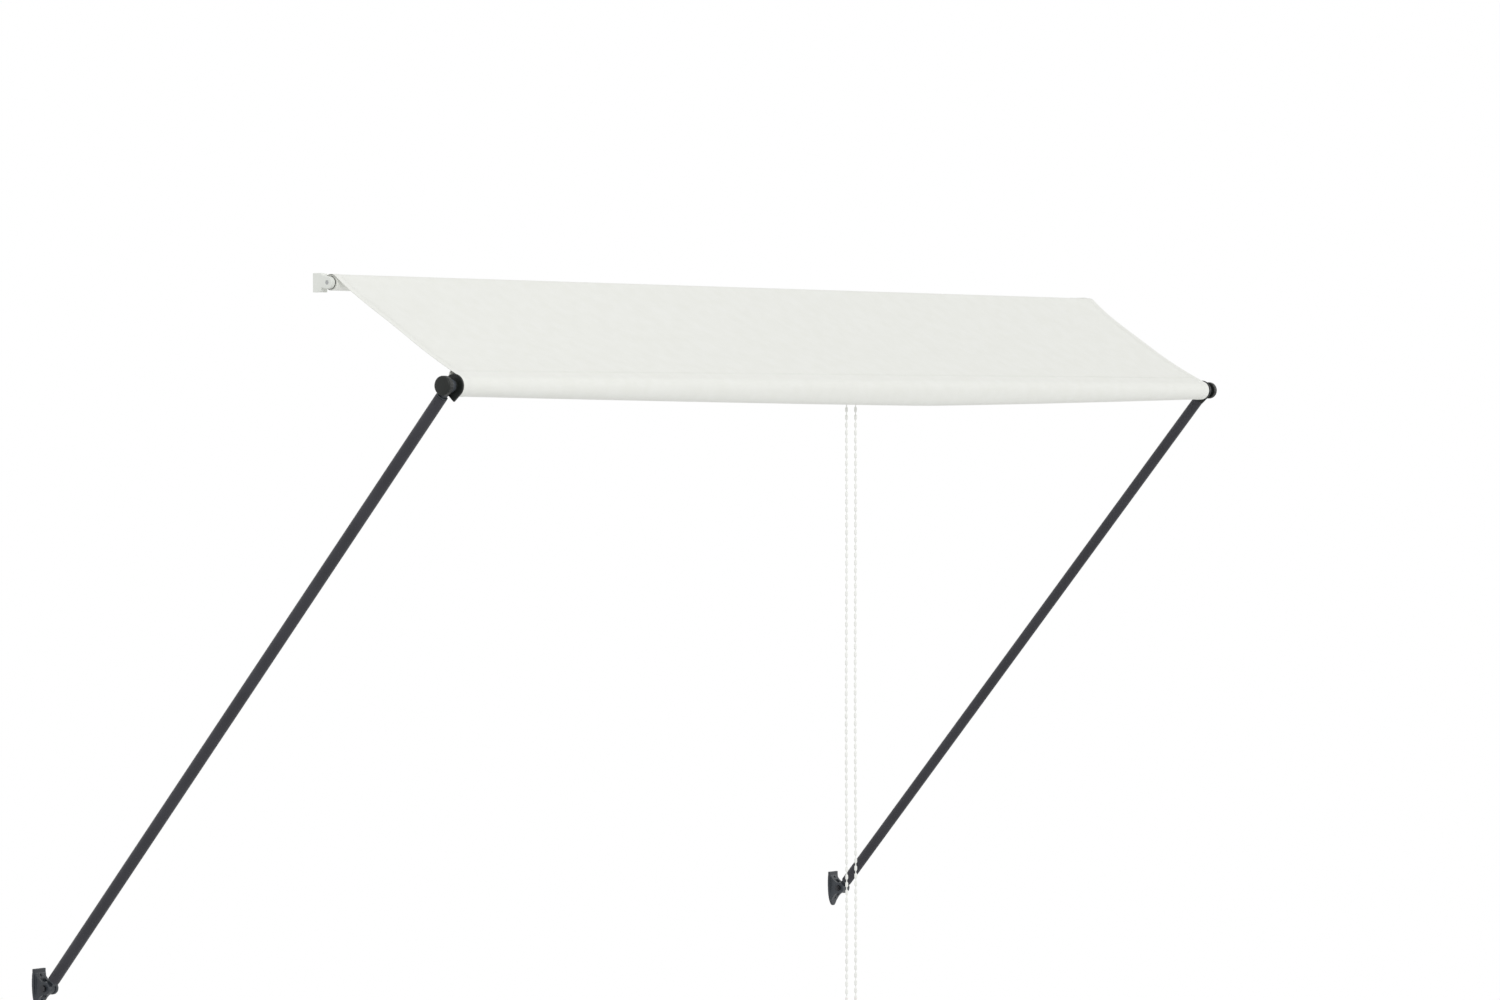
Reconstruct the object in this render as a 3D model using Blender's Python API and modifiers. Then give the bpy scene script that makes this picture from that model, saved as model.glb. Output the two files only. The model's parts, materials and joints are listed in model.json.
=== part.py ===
"""Drop-arm canvas awning with a spring roller, built in metres with +Z up.

The arm brackets' wall plane is y = 0, the room side is +Y and the street side is -Y.
The origin lies on the wall plane, halfway between the two arm pivots.
"""
import math

import bmesh
import bpy
from mathutils import Matrix, Vector

# Layout of the frame
ARM_SPACING = 3.0           # between the centre planes of the two arms
PIVOT_STAND = 0.030         # lower arm pivot in front of the wall
ROLLER_REACH = 0.742        # roller axis in front of the lower pivots
ROLLER_RISE = 1.466         # roller axis above the lower pivots
REST_OPENING = math.radians(13.24)  # between pivot-to-roller and pivot-to-bar lines
GAP = 0.0003                # clearance between pieces that touch
PIVOT_PLAY = 0.0003         # radial play of a pin in its bore

# Arms
ARM_RADIUS = 0.0125
ARM_WALL = 0.0015
ARM_PLUG_LENGTH = 0.032
EYE_THICKNESS = 0.014
FOOT_EYE_RADIUS = 0.0125
HEAD_EYE_RADIUS = 0.0135
FOOT_COLLAR = 0.0205        # from the lower pivot to the collar under the tube
HEAD_COLLAR = 0.0255        # from the bar axis to the collar above the tube
COLLAR_HEIGHT = 0.003
NECK_WIDTH = 0.016
NECK_INSET = 0.0004         # neck thinner than the eye on each side

# Arm brackets on the wall
PLATE_THICKNESS = 0.006
PLATE_WIDTH = 0.040
PLATE_TOP_WIDTH = 0.036
PLATE_UP = 0.040            # plate top above the pivot
PLATE_DOWN = 0.046          # plate tip below the pivot
PLATE_TIP_HALF = 0.003
HORN_TOP_INSET = 0.004      # horn root below the plate top
HORN_TIP_INSET = 0.006      # horn root above the plate tip
CHEEK_WIDTH = 0.030         # outside width over both cheeks
CHEEK_NOSE_RADIUS = 0.0145
SLOT_FLOOR = 0.012          # metal left between the wall and the slot
WALL_HOLE_RADIUS = 0.0027
WALL_HOLE_RISE = 0.026      # holes in the slot, this far above and below the pivot
BOLT_RADIUS = 0.004
BOLT_HEAD_RADIUS = 0.0072
BOLT_HEAD_HEIGHT = 0.0053
NUT_HEIGHT = 0.0065
BOLT_TAIL = 0.002           # thread past the nut

# Roller
TUBE_RADIUS = 0.0125
TUBE_WALL = 0.0012
WOUND_RADIUS = 0.0160
ROLLER_PLUG_LENGTH = 0.030
ROLLER_FLANGE = 0.003
SHAFT_RADIUS = 0.004
SHAFT_INSET = 0.001         # shaft and pin ends inside the bracket's outer face
SHAFT_TAIL = 0.012          # shaft past the spring anchor
END_PIN_LENGTH = 0.046
SPRING_RADIUS = 0.0078
SPRING_WIRE = 0.0009
SPRING_TURNS = 15
SPRING_STEPS = 10           # points on each turn of the spring
SPRING_LENGTH = 0.330
SPRING_CLEARANCE = 0.006    # from the roller plug to the spring
ANCHOR_LENGTH = 0.020

# Roller brackets on the fascia
FASCIA_DISTANCE = 0.036     # bracket back face behind the roller axis
BRACKET_HALF_HEIGHT = 0.0195
BRACKET_BASE_WIDTH = 0.042
BRACKET_BASE_THICKNESS = 0.004
BRACKET_CHEEK = 0.012
BRACKET_BLOCK_DEPTH = 0.021
BRACKET_NOSE_RADIUS = 0.0125
BRACKET_CORNER = 0.007
BRACKET_EDGE = 0.0005       # base set back from the outline of the block
BRACKET_HOLE_INSET = 0.012  # from the free edge of the base
BRACKET_HOLE_RISE = 0.010

# Front bar
FRONT_RADIUS = 0.0200
FRONT_WALL = 0.0015
HEM_THICKNESS = 0.0017
CAP_THICKNESS = 0.005
CAP_RADIUS = 0.0238
CAP_TIP = 0.0325            # lower tip of the end cap below the bar axis
CAP_PLUG_LENGTH = 0.040
CAP_BOSS_RADIUS = 0.0095
ARM_TO_CAP = 0.0015         # side clearance between arm tube and end cap
SPINDLE_RADIUS = 0.005
SPINDLE_HEAD_RADIUS = 0.0085
SPINDLE_HEAD_HEIGHT = 0.005
KNOB_RADIUS = 0.0200
KNOB_LENGTH = 0.016
KNOB_HUB_RADIUS = 0.0115
KNOB_HUB_LENGTH = 0.003
KNOB_SKIN = 0.0045          # closed end over the spindle
KNOB_EDGE = 0.005
KNOB_CROWN = 0.0012         # height of the crowned end
KNOB_CHAMFER = 0.001
KNOB_FLUTE_RADIUS = 0.0022
KNOB_FLUTES = 12
KNOB_FLUTE_DEPTH = 0.0009

# Canopy
SIDE_CLEARANCE = 0.0007     # fabric edge to end cap
FABRIC_THICKNESS = 0.0012
FABRIC_SAG = 0.008
FABRIC_PULL_IN = 0.007      # side edges drawn in at mid length
FABRIC_COLUMNS = 16
FABRIC_ROWS = 10
WOUND_INSET = 0.001         # wound cloth short of the cloth's edges

# Pull chain
CHAIN_X = -0.005
HANGER_REACH = 0.034        # hanger eye behind the bar axis
HANGER_SHANK_RADIUS = 0.0023
HANGER_EYE_RADIUS = 0.007
HANGER_EYE_THICKNESS = 0.005
PIN_RADIUS = 0.002
PIN_TAIL = 0.001            # pin past the ears
EAR_THICKNESS = 0.003
EAR_RADIUS = 0.006
YOKE_WIDTH = 0.047
YOKE_DEPTH = 0.010
YOKE_HEIGHT = 0.008
YOKE_DROP = 0.010           # yoke bar top below the hanger eye
CHAIN_DIAMETER = 0.0064
STRAND_GAP = 0.036          # between the two strands
CHAIN_DROP = 1.395          # strands from the yoke to the turn at the bottom
CHAIN_STEPS = 27
CHAIN_WAVE = 0.0012

ROUND_STEPS = 32
SMALL_STEPS = 20
HOLE_STEPS = 12
OVERCUT = 0.01              # cutters reach this far past the surface
BITE = 0.001                # shapes that are joined go this far into each other

# Worked out from the values above
ARM_X = ARM_SPACING / 2
ARM_LENGTH = math.hypot(ROLLER_REACH, ROLLER_RISE)
ROLLER_LEAN = math.atan2(ROLLER_REACH, ROLLER_RISE)
ARM_LEAN = ROLLER_LEAN + REST_OPENING
PIVOT_Y = -PIVOT_STAND
ROLLER_Y = PIVOT_Y - ROLLER_REACH
ROLLER_Z = ROLLER_RISE
BAR_Y = PIVOT_Y - ARM_LENGTH * math.sin(ARM_LEAN)
BAR_Z = ARM_LENGTH * math.cos(ARM_LEAN)
CAP_OUTER = ARM_X - ARM_RADIUS - ARM_TO_CAP
CAP_INNER = CAP_OUTER - CAP_THICKNESS
FABRIC_HALF = CAP_INNER - SIDE_CLEARANCE
EYE_INNER = ARM_X - EYE_THICKNESS / 2
EYE_OUTER = ARM_X + EYE_THICKNESS / 2
HEM_RADIUS = FRONT_RADIUS + GAP + HEM_THICKNESS
KNOB_INNER = EYE_OUTER + GAP
KNOB_OUTER = KNOB_INNER + KNOB_HUB_LENGTH + KNOB_LENGTH
SPINDLE_END = KNOB_OUTER - KNOB_SKIN - GAP
ROLLER_END = FABRIC_HALF - ROLLER_FLANGE
BRACKET_INNER = FABRIC_HALF + GAP
BRACKET_OUTER = BRACKET_INNER + BRACKET_CHEEK
FASCIA_Y = ROLLER_Y + FASCIA_DISTANCE
HANGER_Y = BAR_Y + HANGER_REACH


def clear_scene():
    """Remove every object of the start-up scene."""
    for old in list(bpy.data.objects):
        bpy.data.objects.remove(old, do_unlink=True)


def make_collection(name):
    """Return a new collection linked to the scene."""
    made = bpy.data.collections.new(name)
    bpy.context.scene.collection.children.link(made)
    return made


clear_scene()
PARTS = make_collection("canvas_awning")
CUTTERS = make_collection("cutters")


def make_material(name, colour, roughness, metallic):
    """A Principled BSDF material."""
    made = bpy.data.materials.new(name)
    made.use_nodes = True
    shader = made.node_tree.nodes["Principled BSDF"]
    shader.inputs["Base Color"].default_value = (*colour, 1.0)
    shader.inputs["Roughness"].default_value = roughness
    shader.inputs["Metallic"].default_value = metallic
    return made


CANVAS = make_material("canvas", (0.83, 0.84, 0.80), 0.9, 0.0)
ARM_PAINT = make_material("anthracite_paint", (0.055, 0.056, 0.062), 0.45, 0.3)
BRACKET_PAINT = make_material("slate_paint", (0.06, 0.068, 0.074), 0.4, 0.2)
BLACK_PLASTIC = make_material("black_plastic", (0.022, 0.024, 0.022), 0.45, 0.0)
WHITE_PAINT = make_material("white_paint", (0.70, 0.72, 0.69), 0.45, 0.0)
BARE_STEEL = make_material("bare_steel", (0.55, 0.56, 0.57), 0.3, 1.0)
BLACK_STEEL = make_material("black_zinc", (0.05, 0.05, 0.055), 0.35, 1.0)
ALUMINIUM = make_material("aluminium", (0.62, 0.63, 0.64), 0.35, 1.0)
CHAIN_PLASTIC = make_material("chain_plastic", (0.80, 0.80, 0.78), 0.5, 0.0)


def add_object(name, mesh, material=None):
    """Link a mesh as an object of the awning."""
    made = bpy.data.objects.new(name, mesh)
    PARTS.objects.link(made)
    if material is not None:
        mesh.materials.append(material)
    return made


def smooth(target, angle=35):
    """Shade round faces smooth and keep the real edges sharp."""
    target.data.shade_smooth()
    target.data.set_sharp_from_angle(angle=math.radians(angle))
    return target


def as_cutter(target):
    """Turn an object into a guide that only cuts or joins others."""
    for owner in list(target.users_collection):
        owner.objects.unlink(target)
    CUTTERS.objects.link(target)
    target.hide_render = True
    target.display_type = "WIRE"
    return target


def boolean(target, other, operation):
    """Join the other object to the target, or cut it away."""
    as_cutter(other)
    step = target.modifiers.new(f"{operation.lower()} {other.name}", "BOOLEAN")
    step.operation = operation
    step.object = other
    step.solver = "EXACT"


def join(target, *others):
    """Unite closed shapes with the target."""
    for other in others:
        boolean(target, other, "UNION")
    return target


def cut(target, *others):
    """Cut closed shapes out of the target."""
    for other in others:
        boolean(target, other, "DIFFERENCE")
    return target


def box(name, low, high, material=None):
    """A block between two corners, made from a unit cube."""
    low = Vector(low)
    high = Vector(high)
    shape = bmesh.new()
    bmesh.ops.create_cube(shape, size=1.0)
    bmesh.ops.scale(shape, vec=high - low, verts=shape.verts)
    bmesh.ops.translate(shape, vec=(low + high) / 2, verts=shape.verts)
    mesh = bpy.data.meshes.new(name)
    shape.to_mesh(mesh)
    shape.free()
    return add_object(name, mesh, material)


def cylinder(name, radius, start, end, material=None, steps=ROUND_STEPS, turn=0.0):
    """A cylinder between two points."""
    start = Vector(start)
    end = Vector(end)
    along = end - start
    shape = bmesh.new()
    bmesh.ops.create_cone(shape, cap_ends=True, segments=steps, radius1=radius,
                          radius2=radius, depth=along.length)
    bmesh.ops.rotate(shape, matrix=Matrix.Rotation(turn, 3, "Z"), verts=shape.verts)
    tilt = along.to_track_quat("Z", "Y").to_matrix()
    bmesh.ops.rotate(shape, matrix=tilt, verts=shape.verts)
    bmesh.ops.translate(shape, vec=(start + end) / 2, verts=shape.verts)
    mesh = bpy.data.meshes.new(name)
    shape.to_mesh(mesh)
    shape.free()
    return smooth(add_object(name, mesh, material))


def turned(name, profile, material, centre, closed=False, steps=ROUND_STEPS):
    """Turn a profile of (radius, height) points about the X axis through centre.

    The profile runs down its outer side, from the far end of the axis to the near one.
    """
    mesh = bpy.data.meshes.new(name)
    points = [(radius, 0.0, height) for radius, height in profile]
    edges = [(i, i + 1) for i in range(len(points) - 1)]
    if closed:
        edges.append((len(points) - 1, 0))
    mesh.from_pydata(points, edges, [])
    made = add_object(name, mesh, material)
    screw = made.modifiers.new("turned", "SCREW")
    screw.axis = "Z"
    screw.angle = math.tau
    screw.steps = steps
    screw.render_steps = steps
    screw.use_merge_vertices = True
    screw.merge_threshold = 0.00001
    made.location = centre
    made.rotation_euler = (0.0, math.pi / 2, 0.0)
    return made


def ring_profile(outer, inner, start, end):
    """Section of a straight tube, as a closed loop."""
    return [(outer, end), (outer, start), (inner, start), (inner, end)]


def flat_piece(name, outline, thickness, placing, material=None):
    """A flat outline with thickness, put in place by a matrix, as a mesh."""
    curve = bpy.data.curves.new(name, "CURVE")
    curve.dimensions = "2D"
    curve.fill_mode = "BOTH"
    curve.extrude = thickness / 2
    spline = curve.splines.new("POLY")
    spline.points.add(len(outline) - 1)
    for point, (across, height) in zip(spline.points, outline):
        point.co = (across, height, 0.0, 1.0)
    spline.use_cyclic_u = True
    guide = bpy.data.objects.new(name + "_outline", curve)
    PARTS.objects.link(guide)
    guide.matrix_world = placing
    return curve_to_mesh(guide, name, material)


def side_plate(name, outline, start, end, material=None):
    """A flat outline of (y, z) points with its thickness along X."""
    stand = Matrix(((0, 0, 1), (1, 0, 0), (0, 1, 0))).to_4x4()
    placing = Matrix.Translation(((start + end) / 2, 0.0, 0.0)) @ stand
    return flat_piece(name, outline, abs(end - start), placing, material)


def curve_to_mesh(guide, name, material):
    """Make a welded mesh object of a curve and remove the curve."""
    bpy.context.view_layer.update()
    graph = bpy.context.evaluated_depsgraph_get()
    mesh = bpy.data.meshes.new_from_object(guide.evaluated_get(graph))
    mesh.name = name
    shape = bmesh.new()
    shape.from_mesh(mesh)
    bmesh.ops.remove_doubles(shape, verts=shape.verts, dist=0.00001)
    bmesh.ops.recalc_face_normals(shape, faces=shape.faces)
    shape.to_mesh(mesh)
    shape.free()
    mesh.materials.clear()
    made = add_object(name, mesh, material)
    made.matrix_world = guide.matrix_world
    bpy.data.objects.remove(guide, do_unlink=True)
    return smooth(made)


def arc(centre, radius, start, end, steps):
    """Points on an arc, with the angles in degrees."""
    made = []
    for i in range(steps + 1):
        angle = math.radians(start + (end - start) * i / steps)
        made.append((centre[0] + radius * math.cos(angle), centre[1] + radius * math.sin(angle)))
    return made


def bend(start, control, end, steps):
    """Points on a smooth bend between two points."""
    made = []
    for i in range(steps + 1):
        t = i / steps
        a = (1 - t) ** 2
        b = 2 * t * (1 - t)
        c = t * t
        made.append((a * start[0] + b * control[0] + c * end[0],
                     a * start[1] + b * control[1] + c * end[1]))
    return made


def hexagon(name, radius, start, end, material=None):
    """A hexagon head or nut between two points."""
    return cylinder(name, radius, start, end, material, steps=6)


def bracket_side_outline():
    """Side view of an arm bracket: a flared horn from the wall plate to the pivot."""
    root_y = -PLATE_THICKNESS / 2
    top = (root_y, PLATE_UP - HORN_TOP_INSET)
    tip = (root_y, -PLATE_DOWN + HORN_TIP_INSET)
    nose = arc((PIVOT_Y, 0.0), CHEEK_NOSE_RADIUS, 70, 285, 12)
    upper = bend(top, (PIVOT_Y * 0.45, CHEEK_NOSE_RADIUS * 1.05), nose[0], 6)
    lower = bend(nose[-1], (PIVOT_Y * 0.45, -CHEEK_NOSE_RADIUS * 1.1), tip, 6)
    return upper[:-1] + nose + lower[1:]


def shield_outline():
    """Front view of the wall plate: flat top, round shoulders, pointed foot."""
    half = PLATE_WIDTH / 2
    top = PLATE_TOP_WIDTH / 2
    shoulder = (half, PLATE_UP * 0.25)
    right = [(top, PLATE_UP)]
    right += bend((top, PLATE_UP * 0.8), (half, PLATE_UP * 0.75), shoulder, 5)
    right += bend(shoulder, (half, -PLATE_DOWN * 0.75), (PLATE_TIP_HALF, -PLATE_DOWN), 8)[1:]
    left = [(-x, z) for x, z in reversed(right)]
    return right + left


def wall_plate(name, x, material):
    """The shield-shaped plate of an arm bracket, standing against the wall."""
    placing = (Matrix.Translation((x, -PLATE_THICKNESS / 2, 0.0))
               @ Matrix.Rotation(math.pi / 2, 4, "X"))
    return flat_piece(name, shield_outline(), PLATE_THICKNESS, placing, material)


def arm_bracket(side, x):
    """Wall bracket that carries the lower end of an arm between two cheeks."""
    name = f"arm_bracket_{side}"
    body = wall_plate(name, x, BRACKET_PAINT)
    half = CHEEK_WIDTH / 2
    horn = side_plate(name + "_horn", bracket_side_outline(), x - half, x + half)
    join(body, horn)
    slot_half = EYE_THICKNESS / 2 + GAP
    reach = PIVOT_STAND + CHEEK_NOSE_RADIUS + OVERCUT
    slot = box(name + "_slot", (x - slot_half, -reach, -PLATE_DOWN),
               (x + slot_half, -SLOT_FLOOR, PLATE_UP + OVERCUT))
    bore = cylinder(name + "_bore", BOLT_RADIUS + PIVOT_PLAY,
                    (x - PLATE_WIDTH, PIVOT_Y, 0.0), (x + PLATE_WIDTH, PIVOT_Y, 0.0),
                    steps=SMALL_STEPS)
    cut(body, slot, bore)
    for sign, tag in ((-1, "low"), (1, "top")):
        cut(body, cylinder(f"{name}_hole_{tag}", WALL_HOLE_RADIUS,
                           (x, -SLOT_FLOOR - OVERCUT, sign * WALL_HOLE_RISE),
                           (x, OVERCUT, sign * WALL_HOLE_RISE), steps=HOLE_STEPS))


def arm_bolt(side, x, outward):
    """Hexagon bolt and nut through the cheeks of an arm bracket."""
    half = CHEEK_WIDTH / 2
    inner = x - outward * (half + GAP)
    outer = x + outward * (half + GAP)
    head = x + outward * (half + GAP + BOLT_HEAD_HEIGHT)
    tip = x - outward * (half + GAP + NUT_HEIGHT + BOLT_TAIL)
    bolt = cylinder(f"arm_pivot_bolt_{side}", BOLT_RADIUS, (tip, PIVOT_Y, 0.0),
                    (outer + outward * BITE, PIVOT_Y, 0.0), BLACK_STEEL, steps=SMALL_STEPS)
    join(bolt, hexagon(f"arm_pivot_bolt_{side}_head", BOLT_HEAD_RADIUS,
                       (outer, PIVOT_Y, 0.0), (head, PIVOT_Y, 0.0)))
    nut_end = x - outward * (half + GAP + NUT_HEIGHT)
    nut = hexagon(f"arm_pivot_nut_{side}", BOLT_HEAD_RADIUS, (inner, PIVOT_Y, 0.0),
                  (nut_end, PIVOT_Y, 0.0), BLACK_STEEL)
    cut(nut, cylinder(f"arm_pivot_nut_{side}_thread", BOLT_RADIUS + PIVOT_PLAY,
                      (inner + outward * BITE, PIVOT_Y, 0.0),
                      (nut_end - outward * BITE, PIVOT_Y, 0.0), steps=SMALL_STEPS))


def arm_empty(side, x):
    """Empty on the lower pivot, with its own Z along the arm."""
    empty = bpy.data.objects.new(f"{side}_arm_pivot", None)
    PARTS.objects.link(empty)
    empty.location = (x, PIVOT_Y, 0.0)
    empty.rotation_euler = (ARM_LEAN, 0.0, 0.0)
    return empty


def eye_end(name, eye_z, collar_z, eye_radius, bore_radius):
    """A flat eye, its neck, a collar and the plug that sits in the arm tube."""
    towards_tube = 1.0 if collar_z > eye_z else -1.0
    half = EYE_THICKNESS / 2
    body = cylinder(name, eye_radius, (-half, 0.0, eye_z), (half, 0.0, eye_z), BRACKET_PAINT)
    collar_end = collar_z + towards_tube * COLLAR_HEIGHT
    overlap = COLLAR_HEIGHT / 2
    neck_end = collar_z + towards_tube * overlap
    neck = box(name + "_neck",
               (NECK_INSET - half, -NECK_WIDTH / 2, min(eye_z, neck_end)),
               (half - NECK_INSET, NECK_WIDTH / 2, max(eye_z, neck_end)))
    collar = cylinder(name + "_collar", ARM_RADIUS, (0.0, 0.0, collar_z), (0.0, 0.0, collar_end))
    plug_end = collar_end + towards_tube * ARM_PLUG_LENGTH
    plug = cylinder(name + "_plug", ARM_RADIUS - ARM_WALL - GAP,
                    (0.0, 0.0, collar_z + towards_tube * overlap), (0.0, 0.0, plug_end))
    join(body, neck, collar, plug)
    bore = cylinder(name + "_bore", bore_radius, (-EYE_THICKNESS, 0.0, eye_z),
                    (EYE_THICKNESS, 0.0, eye_z), steps=SMALL_STEPS)
    cut(body, bore)
    return [body, neck, collar, plug, bore]


def arm(side, x):
    """One arm: foot, tube and head on the line from the pivot to the front bar."""
    empty = arm_empty(side, x)
    pieces = eye_end(f"{side}_arm_foot", 0.0, FOOT_COLLAR, FOOT_EYE_RADIUS,
                     BOLT_RADIUS + PIVOT_PLAY)
    pieces += eye_end(f"{side}_arm_head", ARM_LENGTH, ARM_LENGTH - HEAD_COLLAR,
                      HEAD_EYE_RADIUS, SPINDLE_RADIUS + PIVOT_PLAY)
    start = FOOT_COLLAR + COLLAR_HEIGHT + GAP
    end = ARM_LENGTH - HEAD_COLLAR - COLLAR_HEIGHT - GAP
    tube = turned(f"{side}_arm_tube",
                  ring_profile(ARM_RADIUS, ARM_RADIUS - ARM_WALL, start, end),
                  ARM_PAINT, (0.0, 0.0, 0.0), closed=True)
    tube.rotation_euler = (0.0, 0.0, 0.0)
    pieces.append(tube)
    for piece in pieces:
        piece.parent = empty


def roller_bracket_outline():
    """Side view of a roller bracket: block on the fascia, nose round the roller pin."""
    back = FASCIA_Y
    front = back - BRACKET_BLOCK_DEPTH
    low = ROLLER_Z - BRACKET_HALF_HEIGHT
    high = ROLLER_Z + BRACKET_HALF_HEIGHT
    corner = BRACKET_CORNER
    outline = [(back, low), (back, high), (front, high)]
    outline += bend((front, high), (front - 0.002, ROLLER_Z + BRACKET_NOSE_RADIUS * 1.1),
                    (ROLLER_Y, ROLLER_Z + BRACKET_NOSE_RADIUS), 4)[1:-1]
    outline += arc((ROLLER_Y, ROLLER_Z), BRACKET_NOSE_RADIUS, 90, 290, 12)
    outline += bend((front, ROLLER_Z - BRACKET_NOSE_RADIUS * 0.8), (front, low),
                    (front + corner, low), 4)
    return outline


def roller_bracket(side, outward):
    """Fascia bracket that carries one end of the roller."""
    name = f"roller_bracket_{side}"
    inner = outward * BRACKET_INNER
    outer = outward * BRACKET_OUTER
    body = side_plate(name, roller_bracket_outline(), inner, outer, WHITE_PAINT)
    base_inner = outward * (BRACKET_OUTER - BRACKET_BASE_WIDTH)
    base_outer = outward * (BRACKET_OUTER - BRACKET_EDGE)
    low_x = min(base_inner, base_outer)
    high_x = max(base_inner, base_outer)
    base = box(name + "_base",
               (low_x, FASCIA_Y - BRACKET_BASE_THICKNESS,
                ROLLER_Z - BRACKET_HALF_HEIGHT + BRACKET_EDGE),
               (high_x, FASCIA_Y, ROLLER_Z + BRACKET_HALF_HEIGHT - BRACKET_EDGE))
    join(body, base)
    hole_x = outward * (BRACKET_OUTER - BRACKET_BASE_WIDTH + BRACKET_HOLE_INSET)
    for sign, tag in ((-1, "low"), (1, "top")):
        hole_z = ROLLER_Z + sign * BRACKET_HOLE_RISE
        cut(body, cylinder(f"{name}_hole_{tag}", WALL_HOLE_RADIUS,
                           (hole_x, FASCIA_Y - BRACKET_BASE_THICKNESS * 2, hole_z),
                           (hole_x, FASCIA_Y + BRACKET_BASE_THICKNESS, hole_z),
                           steps=HOLE_STEPS))
    cut(body, cylinder(name + "_bore", SHAFT_RADIUS + PIVOT_PLAY,
                       (inner - outward * OVERCUT, ROLLER_Y, ROLLER_Z),
                       (outer + outward * OVERCUT, ROLLER_Y, ROLLER_Z), steps=SMALL_STEPS))


def roller_tube():
    """Roller tube and the fabric wound on it."""
    centre = (0.0, ROLLER_Y, ROLLER_Z)
    turned("roller_tube", ring_profile(TUBE_RADIUS, TUBE_RADIUS - TUBE_WALL,
                                       -ROLLER_END, ROLLER_END),
           ALUMINIUM, centre, closed=True)
    turned("fabric_roll", ring_profile(WOUND_RADIUS, TUBE_RADIUS + GAP,
                                       WOUND_INSET - FABRIC_HALF, FABRIC_HALF - WOUND_INSET),
           CANVAS, centre, closed=True)


def roller_plug(side, outward):
    """End plug that turns on the fixed shaft or pin."""
    bore = SHAFT_RADIUS + PIVOT_PLAY
    body = TUBE_RADIUS - TUBE_WALL - GAP
    inside = ROLLER_END - ROLLER_PLUG_LENGTH
    shoulder = ROLLER_END + GAP
    outside = FABRIC_HALF
    profile = [(TUBE_RADIUS, outside), (TUBE_RADIUS, shoulder), (body, shoulder),
               (body, inside), (bore, inside), (bore, outside)]
    if outward < 0:
        profile = [(radius, -height) for radius, height in reversed(profile)]
    turned(f"roller_plug_{side}", profile, BLACK_PLASTIC, (0.0, ROLLER_Y, ROLLER_Z), closed=True)


def spring_set():
    """Fixed shaft in the left bracket, torsion spring and the anchor it drives."""
    start = -ROLLER_END + ROLLER_PLUG_LENGTH + SPRING_CLEARANCE
    curve = bpy.data.curves.new("torsion_spring", "CURVE")
    curve.dimensions = "3D"
    curve.bevel_depth = SPRING_WIRE
    curve.bevel_resolution = 1
    curve.use_fill_caps = True
    spline = curve.splines.new("POLY")
    steps = SPRING_TURNS * SPRING_STEPS
    spline.points.add(steps)
    for i, point in enumerate(spline.points):
        angle = math.tau * i / SPRING_STEPS
        point.co = (start + SPRING_LENGTH * i / steps,
                    ROLLER_Y + (SPRING_RADIUS - SPRING_WIRE) * math.cos(angle),
                    ROLLER_Z + (SPRING_RADIUS - SPRING_WIRE) * math.sin(angle), 1.0)
    spring = bpy.data.objects.new("torsion_spring", curve)
    curve.materials.append(BARE_STEEL)
    PARTS.objects.link(spring)
    anchor_start = start + SPRING_LENGTH + SPRING_WIRE + GAP
    anchor_end = anchor_start + ANCHOR_LENGTH
    bore = SHAFT_RADIUS + PIVOT_PLAY
    body = TUBE_RADIUS - TUBE_WALL - GAP
    turned("spring_anchor", ring_profile(body, bore, anchor_start, anchor_end),
           BLACK_PLASTIC, (0.0, ROLLER_Y, ROLLER_Z), closed=True)
    cylinder("spring_shaft", SHAFT_RADIUS, (SHAFT_INSET - BRACKET_OUTER, ROLLER_Y, ROLLER_Z),
             (anchor_end + SHAFT_TAIL, ROLLER_Y, ROLLER_Z), BARE_STEEL, steps=SMALL_STEPS)


def roller_pin():
    """Fixed pin in the right bracket."""
    outer = BRACKET_OUTER - SHAFT_INSET
    cylinder("roller_pin", SHAFT_RADIUS, (outer - END_PIN_LENGTH, ROLLER_Y, ROLLER_Z),
             (outer, ROLLER_Y, ROLLER_Z), BARE_STEEL, steps=SMALL_STEPS)


def front_tube():
    """Front bar tube and the fabric hem round it, with a slit for the chain hanger."""
    centre = (0.0, BAR_Y, BAR_Z)
    half = CAP_INNER - GAP
    tube = turned("front_tube", ring_profile(FRONT_RADIUS, FRONT_RADIUS - FRONT_WALL, -half, half),
                  WHITE_PAINT, centre, closed=True)
    hem = turned("front_hem", ring_profile(HEM_RADIUS, FRONT_RADIUS + GAP,
                                           -FABRIC_HALF, FABRIC_HALF),
                 CANVAS, centre, closed=True)
    for target in (tube, hem):
        cut(target, cylinder(target.name + "_hanger_hole", HANGER_SHANK_RADIUS + GAP,
                             (CHAIN_X, BAR_Y + FRONT_RADIUS - FRONT_WALL * 3, BAR_Z),
                             (CHAIN_X, BAR_Y + HEM_RADIUS * 1.4, BAR_Z), steps=SMALL_STEPS))


def cap_outline():
    """Side view of an end cap: a disc with a pointed drip tip at the bottom."""
    start = -90 + math.degrees(math.acos(CAP_RADIUS / CAP_TIP))
    round_part = arc((BAR_Y, BAR_Z), CAP_RADIUS, start, 360 - 180 - start, 36)
    return round_part + [(BAR_Y, BAR_Z - CAP_TIP)]


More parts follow.
